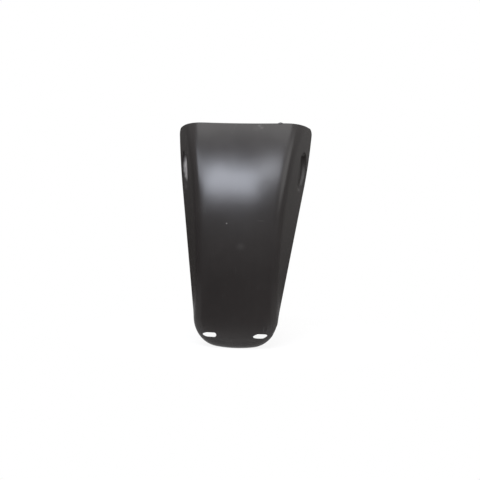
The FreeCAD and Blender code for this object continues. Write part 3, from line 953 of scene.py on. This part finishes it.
def black_plastic(name, tone, roughness, grain, bumps, marks, rim_abrasion_and_light, spots):
    """One plastic from the shared groups, each with this side's own values."""
    material = bpy.data.materials.new(name)
    material.use_nodes = True
    tree = material.node_tree
    place = made(tree, "ShaderNodeTexCoord", output="Object")
    # the second attribute is the mask of the painted highlight in the left relief
    near_edge, painted_relief_highlight = (made(tree, "ShaderNodeAttribute", output="Fac", attribute_name=key)
                          for key in ("near_edge", "painted_relief_highlight"))
    grains = effect(tree, moulded_grain, {"Place": place, **grain})
    handled = effect(tree, handling_marks, {"Place": place, **marks})
    rim_and_relief_inputs = {"Place": place, "Near Edge": near_edge, "Painted Relief Highlight": painted_relief_highlight, "Amount": rim_abrasion_and_light}
    # abrasion at the free edge, partly a painted highlight along the rim, and the painted highlight in
    # the left relief
    abraded_and_lit = effect(tree, abrasion_and_painted_light, rim_and_relief_inputs)
    dust_abrasion_and_rim_light = strongest((abraded_and_lit["Rim Abrasion And Light"], handled["Scratch"] * SCRATCH_DUST, handled["Speck"]))
    pale = strongest((abraded_and_lit["Pale"], *(mark_at(place, *spot) for spot in spots)))
    colour = tinted(grains["Flow"].ramp(*FLOW_TINT), (*tone["dark"], 1.0), tone["light"])
    # the grey tone paints abrasion, scratches, dust and the highlight along the rim; the pale tone
    # paints the relief's highlight and the marks
    colour = tinted(pale, tinted(dust_abrasion_and_rim_light, colour, tone["abrasion_and_rim_light"]), tone["pale"])
    ends = (roughness - FLOW_SWING, roughness + FLOW_SWING)
    rough = grains["Flow"].ramp(*FLOW_GLOSS, *ends, "LINEAR")
    rough = rough + handled["Smudge"] * SMUDGE_DULLING + dust_abrasion_and_rim_light.at_least(pale) * WEAR_DULLING
    scored = grains["Height"] - handled["Scratch"] * SCRATCH_DEPTH
    bump = made(tree, "ShaderNodeBump", {"Height": scored, "Strength": bumps, "Distance": GRAIN_DEPTH})
    fill(tree, tree.nodes["Principled BSDF"], {"Base Color": colour, "Roughness": rough, "Normal": bump,
                                               "Specular IOR Level": SPECULAR_LEVEL})
    return material


print("plastic ready, specular level", SPECULAR_LEVEL)

# %% [markdown]
# ## Its two finishes
#
# The outer side is satin, with a pale speck, a smear near the top edge and a few faint marks. The
# inner side has the coarser, duller grain of the tool half that pushes the part out.

# %% Outer and inner plastic
# each mark: centre and reach in mm, share of the reach that is at full strength, strength
FACE_MARKS = (((-18.3, 9.5, 176.1), (0.9, 3.0, 0.9), 0.4, 0.9),
              ((27.5, 66.0, 345.8), (5.0, 9.0, 3.2), 0.0, 0.10),
              ((31.8, 65.5, 342.2), (5.0, 9.0, 3.2), 0.0, 0.10),
              ((24.0, 64.0, 340.0), (11.0, 9.0, 8.0), 0.0, 0.02),
              ((36.4, 11.5, 181.5), (8.0, 6.0, 0.6), 0.2, 0.06),
              ((5.5, 4.0, 140.0), (10.0, 6.0, 9.0), 0.0, 0.025))
INNER_MARKS = (((-40.0, 30.0, 210.0), (10.0, 8.0, 5.0), 0.0, 0.03),
               ((25.0, 62.0, 318.0), (12.0, 8.0, 4.0), 0.0, 0.03))
# in both plastics the grey tone also paints the highlight along the rim, and the outer pale tone paints
# the highlight in the left relief
outer_plastic = black_plastic(
    "satin_black_plastic",
    tone={"dark": (0.0138, 0.0119, 0.0113), "light": (0.0175, 0.0151, 0.0143),
          "abrasion_and_rim_light": (0.075, 0.073, 0.072), "pale": (0.37, 0.354, 0.342)},
    roughness=0.24, grain={"Grain Size": 0.45, "Coarse Share": 0.35}, bumps=0.25,
    marks={"Scratches": 0.35, "Smudges": 0.5, "Dust": 0.6}, rim_abrasion_and_light=0.35, spots=FACE_MARKS)
inner_plastic = black_plastic(
    "tool_side_black_plastic",
    tone={"dark": (0.0125, 0.0118, 0.0118), "light": (0.0215, 0.0202, 0.0202),
          "abrasion_and_rim_light": (0.07, 0.068, 0.067), "pale": (0.30, 0.30, 0.30)},
    roughness=0.50, grain={"Grain Size": 0.9, "Coarse Share": 0.8}, bumps=0.55,
    marks={"Scratches": 0.6, "Smudges": 0.8, "Dust": 0.5}, rim_abrasion_and_light=0.3, spots=INNER_MARKS)
print("plastics:", outer_plastic.name, inner_plastic.name)

# %% [markdown]
# ## Finishing the piece
#
# The tree is applied with its inputs set by their sockets' identifiers, the marked edges are rounded
# with a bevel, and the result becomes a plain mesh. Weighted normals keep the large faces calm next to
# the narrow bevels. Then the piece takes the CAD node's place.

# %% Finish the fender
EDGE_ROUNDING, ROUNDING_STEPS = 0.5, 3
FLAT_FACE_WEIGHT = 60

moulding = fender.modifiers.new("press_and_cut", "NODES")
moulding.node_group = press_and_cut
sockets = {i.name: i.identifier for i in press_and_cut.interface.items_tree if i.in_out == "INPUT"}
plastics = [("Outer Plastic", outer_plastic), ("Inner Plastic", inner_plastic)]
for name, value in plastics + NAMED_INPUTS:
    moulding[sockets[name]] = value
rounding = fender.modifiers.new("rounded_edges", "BEVEL")
rounding.limit_method = "WEIGHT"
rounding.width = EDGE_ROUNDING * MM
rounding.segments = ROUNDING_STEPS
calm = fender.modifiers.new("calm_normals", "WEIGHTED_NORMAL")
calm.weight = FLAT_FACE_WEIGHT
shell_mesh.shade_smooth()
bpy.context.view_layer.update()
ready = fender.evaluated_get(bpy.context.evaluated_depsgraph_get())
final_mesh = bpy.data.meshes.new_from_object(ready)
fender.modifiers.clear()
fender.data = final_mesh
final_mesh.name = "inner_fender"
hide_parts("front_inner_fender")
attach(fender, "root")
triangles = sum(len(p.vertices) - 2 for p in final_mesh.polygons)
print("fender:", len(final_mesh.vertices), "points,", triangles, "triangles,",
      [m.name for m in final_mesh.materials])

# %% [markdown]
# ## The floor
#
# The fender stands on a pale floor, as in a catalogue picture. The floor is a wide flat oval. For the
# camera and in reflections it is plain white, apart from a share near the part that stays a matt
# surface, and this share shows the soft shadow. It fades out before the oval's edge, so that edge
# can't be seen against the white room.

# %% Floor
FLOOR_RADIUS, FLOOR_WIDENING, FLOOR_POINTS = 0.36, 2.2, 96
FLOOR_BACK = 0.19
FLOOR_SHADOW = 0.85
SHADOW_FADE = (0.16, 0.34)
PALE_GREY, WHITE = (0.86, 0.86, 0.86, 1.0), (1.0, 1.0, 1.0, 1.0)


def rays(tree, *kinds):
    """One value for each kind of ray: 1 where the surface is met by it."""
    path = add_node(tree, "ShaderNodeLightPath").outputs
    return [Value(tree, path["Is " + kind + " Ray"]) for kind in kinds]


def pale_floor():
    material = bpy.data.materials.new("pale_floor")
    material.use_nodes = True
    tree = material.node_tree
    tree.nodes.remove(tree.nodes["Principled BSDF"])
    matt = made(tree, "ShaderNodeBsdfDiffuse", {"Color": PALE_GREY})
    white = made(tree, "ShaderNodeEmission", {"Color": WHITE, "Strength": 1.0})
    away = made(tree, "ShaderNodeTexCoord", output="Object").vector_calc("LENGTH", output="Value")
    seen = strongest(rays(tree, "Camera", "Glossy", "Transmission"))
    share = seen * away.ramp(*SHADOW_FADE, FLOOR_SHADOW, 1.0)
    mix = made(tree, "ShaderNodeMixShader", {0: share, 1: matt, 2: white})
    fill(tree, tree.nodes["Material Output"], {"Surface": mix})
    return material


def studio_floor(height):
    mesh = bpy.data.meshes.new("floor")
    turns = np.linspace(0.0, 2 * math.pi, FLOOR_POINTS + 1)[:-1]
    rim = [(FLOOR_WIDENING * FLOOR_RADIUS * math.cos(a), FLOOR_RADIUS * math.sin(a), 0.0) for a in turns]
    mesh.from_pydata(rim, [], [list(range(len(rim)))])
    floor = bpy.data.objects.new("floor", mesh)
    floor.location = (0.0, FLOOR_BACK, height)
    bpy.context.scene.collection.objects.link(floor)
    mesh.materials.append(pale_floor())


part_low = min(v.co.z for v in final_mesh.vertices)
studio_floor(part_low)
print("floor at", round(1000 * part_low, 1), "mm")

# %% [markdown]
# ## The room
#
# Black plastic shows little but what it mirrors, so the room matters as much as the lamps. The room
# grows lighter towards its ceiling, and a little to the right. Straight behind the part is a white
# backdrop, and behind its left wall hangs a darker curtain. The camera sees plain white all round.

# %% Room
ROOM_LOW, ROOM_HIGH = (0.14, 0.132, 0.128), (1.10, 1.08, 1.07)
ROOM_LEAN = (0.14, -0.05, 0.93)
ROOM_RISE = (-0.1, 1.0)
BACKDROP = (0.9, 0.97)
CURTAIN_WAY = (-0.67, 0.73, 0.13)
CURTAIN_EDGE = (0.75, 0.95)
CURTAIN_SHADE = 0.62


def studio_room():
    world = bpy.data.worlds.new("studio_room")
    bpy.context.scene.world = world
    world.use_nodes = True
    tree = world.node_tree
    look = made(tree, "ShaderNodeTexCoord", output="Generated")
    camera_ray, glossy_ray, transmission_ray = rays(tree, "Camera", "Glossy", "Transmission")
    mirrored = glossy_ray * apart(look)[1].ramp(*BACKDROP)
    white = strongest((camera_ray, transmission_ray, mirrored))
    lift = look.vector_calc("DOT_PRODUCT", ROOM_LEAN, "Value").ramp(*ROOM_RISE, kind="LINEAR")
    room = tinted(lift, (*ROOM_LOW, 1.0), ROOM_HIGH)
    toward = look.vector_calc("DOT_PRODUCT", CURTAIN_WAY, "Value")
    room = room.vector_calc("MULTIPLY", toward.ramp(*CURTAIN_EDGE, 1.0, CURTAIN_SHADE))
    fill(tree, tree.nodes["Background"], {"Color": tinted(white, room, WHITE[:3])})
    return world


print("room:", studio_room().name)

# %% [markdown]
# ## The lamps
#
# A broad soft lamp high at the front makes the large sheen across the bend of the face. A dimmer wing
# lets the sheen fade into the left fold, and a smaller lamp carries it on to the right. A wide lamp
# overhead and a reflector at the right lift the upper part. Two low cards, one at each side, draw a
# faint line of light along the folds at the lower end. Each lamp is placed round a target by two
# angles, as one would walk round the part with it.

# %% Lamps
BEND, LOWER_END = (0.0, 0.03, 0.26), (0.0, 0.02, 0.03)
COOL = (0.85, 0.89, 1.0)


def facing(target, angles, distance, roll):
    """Matrix of something that looks at a target from a turn and a lift in degrees.

    A turn of 0 is straight in front, and a positive one is to the right.
    """
    turn, lift, roll = (math.radians(a) for a in (*angles, roll))
    back = Vector((math.sin(turn) * math.cos(lift), -math.cos(turn) * math.cos(lift), math.sin(lift)))
    right = Vector((0.0, 0.0, 1.0)).cross(back).normalized()
    upright = Matrix((right, back.cross(right), back)).transposed().to_4x4()
    place = Matrix.Translation(Vector(target) + distance * back)
    return place @ upright @ Matrix.Rotation(roll, 4, "Z")


def soft_lamp(name, angles, distance, target, size, power, colour=(1.0, 1.0, 1.0), roll=0.0):
    """A rectangular lamp, with its distance and size in metres and its power in watts."""
    data = bpy.data.lights.new(name, "AREA")
    data.shape = "RECTANGLE"
    data.size, data.size_y = size
    data.energy = power
    data.color = colour
    lamp = bpy.data.objects.new(name, data)
    bpy.context.scene.collection.objects.link(lamp)
    lamp.matrix_world = facing(target, angles, distance, roll)


soft_lamp("key_softbox", (-9.9, 39.8), 1.25, BEND, (0.63, 0.30), 10.9, COOL, roll=1.0)
soft_lamp("key_wing", (-38.0, 39.8), 1.25, BEND, (0.62, 0.30), 4.3, COOL, roll=1.0)
soft_lamp("side_softbox", (19.0, 45.5), 1.25, BEND, (0.32, 0.24), 2.9, (0.88, 0.91, 1.0), roll=12.0)
soft_lamp("right_reflector", (58.0, 34.0), 1.25, BEND, (0.70, 0.55), 2.4)
soft_lamp("overhead_softbox", (-4.0, 76.0), 1.2, (0.0, 0.05, 0.30), (1.4, 0.55), 6.0)
soft_lamp("left_low_card", (-55.0, -7.0), 0.65, LOWER_END, (0.60, 0.12), 0.13)
soft_lamp("right_low_card", (55.0, -7.0), 0.65, LOWER_END, (0.60, 0.12), 0.10)

# %% [markdown]
# ## The camera
#
# The picture is taken from less than a metre away, almost straight on, so the lower end looks a
# little larger than it would from afar. The camera is set by its distance, three small angles and the
# size of a pixel at the target. A small shift puts the part where it stands in the frame.

# %% Camera
CAMERA_TARGET = (0.0, 0.040, 0.160)
CAMERA_DISTANCE = 0.9
CAMERA_ANGLES, CAMERA_ROLL = (4.101, -1.379), 1.556
PIXEL_AT_TARGET = 0.001646
FRAME_PIXELS = 480
OFFSET_RIGHT, OFFSET_DOWN = -0.87, -5.69

camera_data = bpy.data.cameras.new("camera")
camera_data.lens = camera_data.sensor_width * CAMERA_DISTANCE / (PIXEL_AT_TARGET * FRAME_PIXELS)
camera_data.shift_x = -OFFSET_RIGHT / FRAME_PIXELS
camera_data.shift_y = OFFSET_DOWN / FRAME_PIXELS
camera = bpy.data.objects.new("camera", camera_data)
bpy.context.scene.collection.objects.link(camera)
camera.matrix_world = facing(CAMERA_TARGET, CAMERA_ANGLES, CAMERA_DISTANCE, CAMERA_ROLL)
bpy.context.scene.camera = camera
bpy.context.scene.view_settings.view_transform = "Standard"
print("camera at", [round(v, 3) for v in camera.location], "lens", round(camera_data.lens, 1))
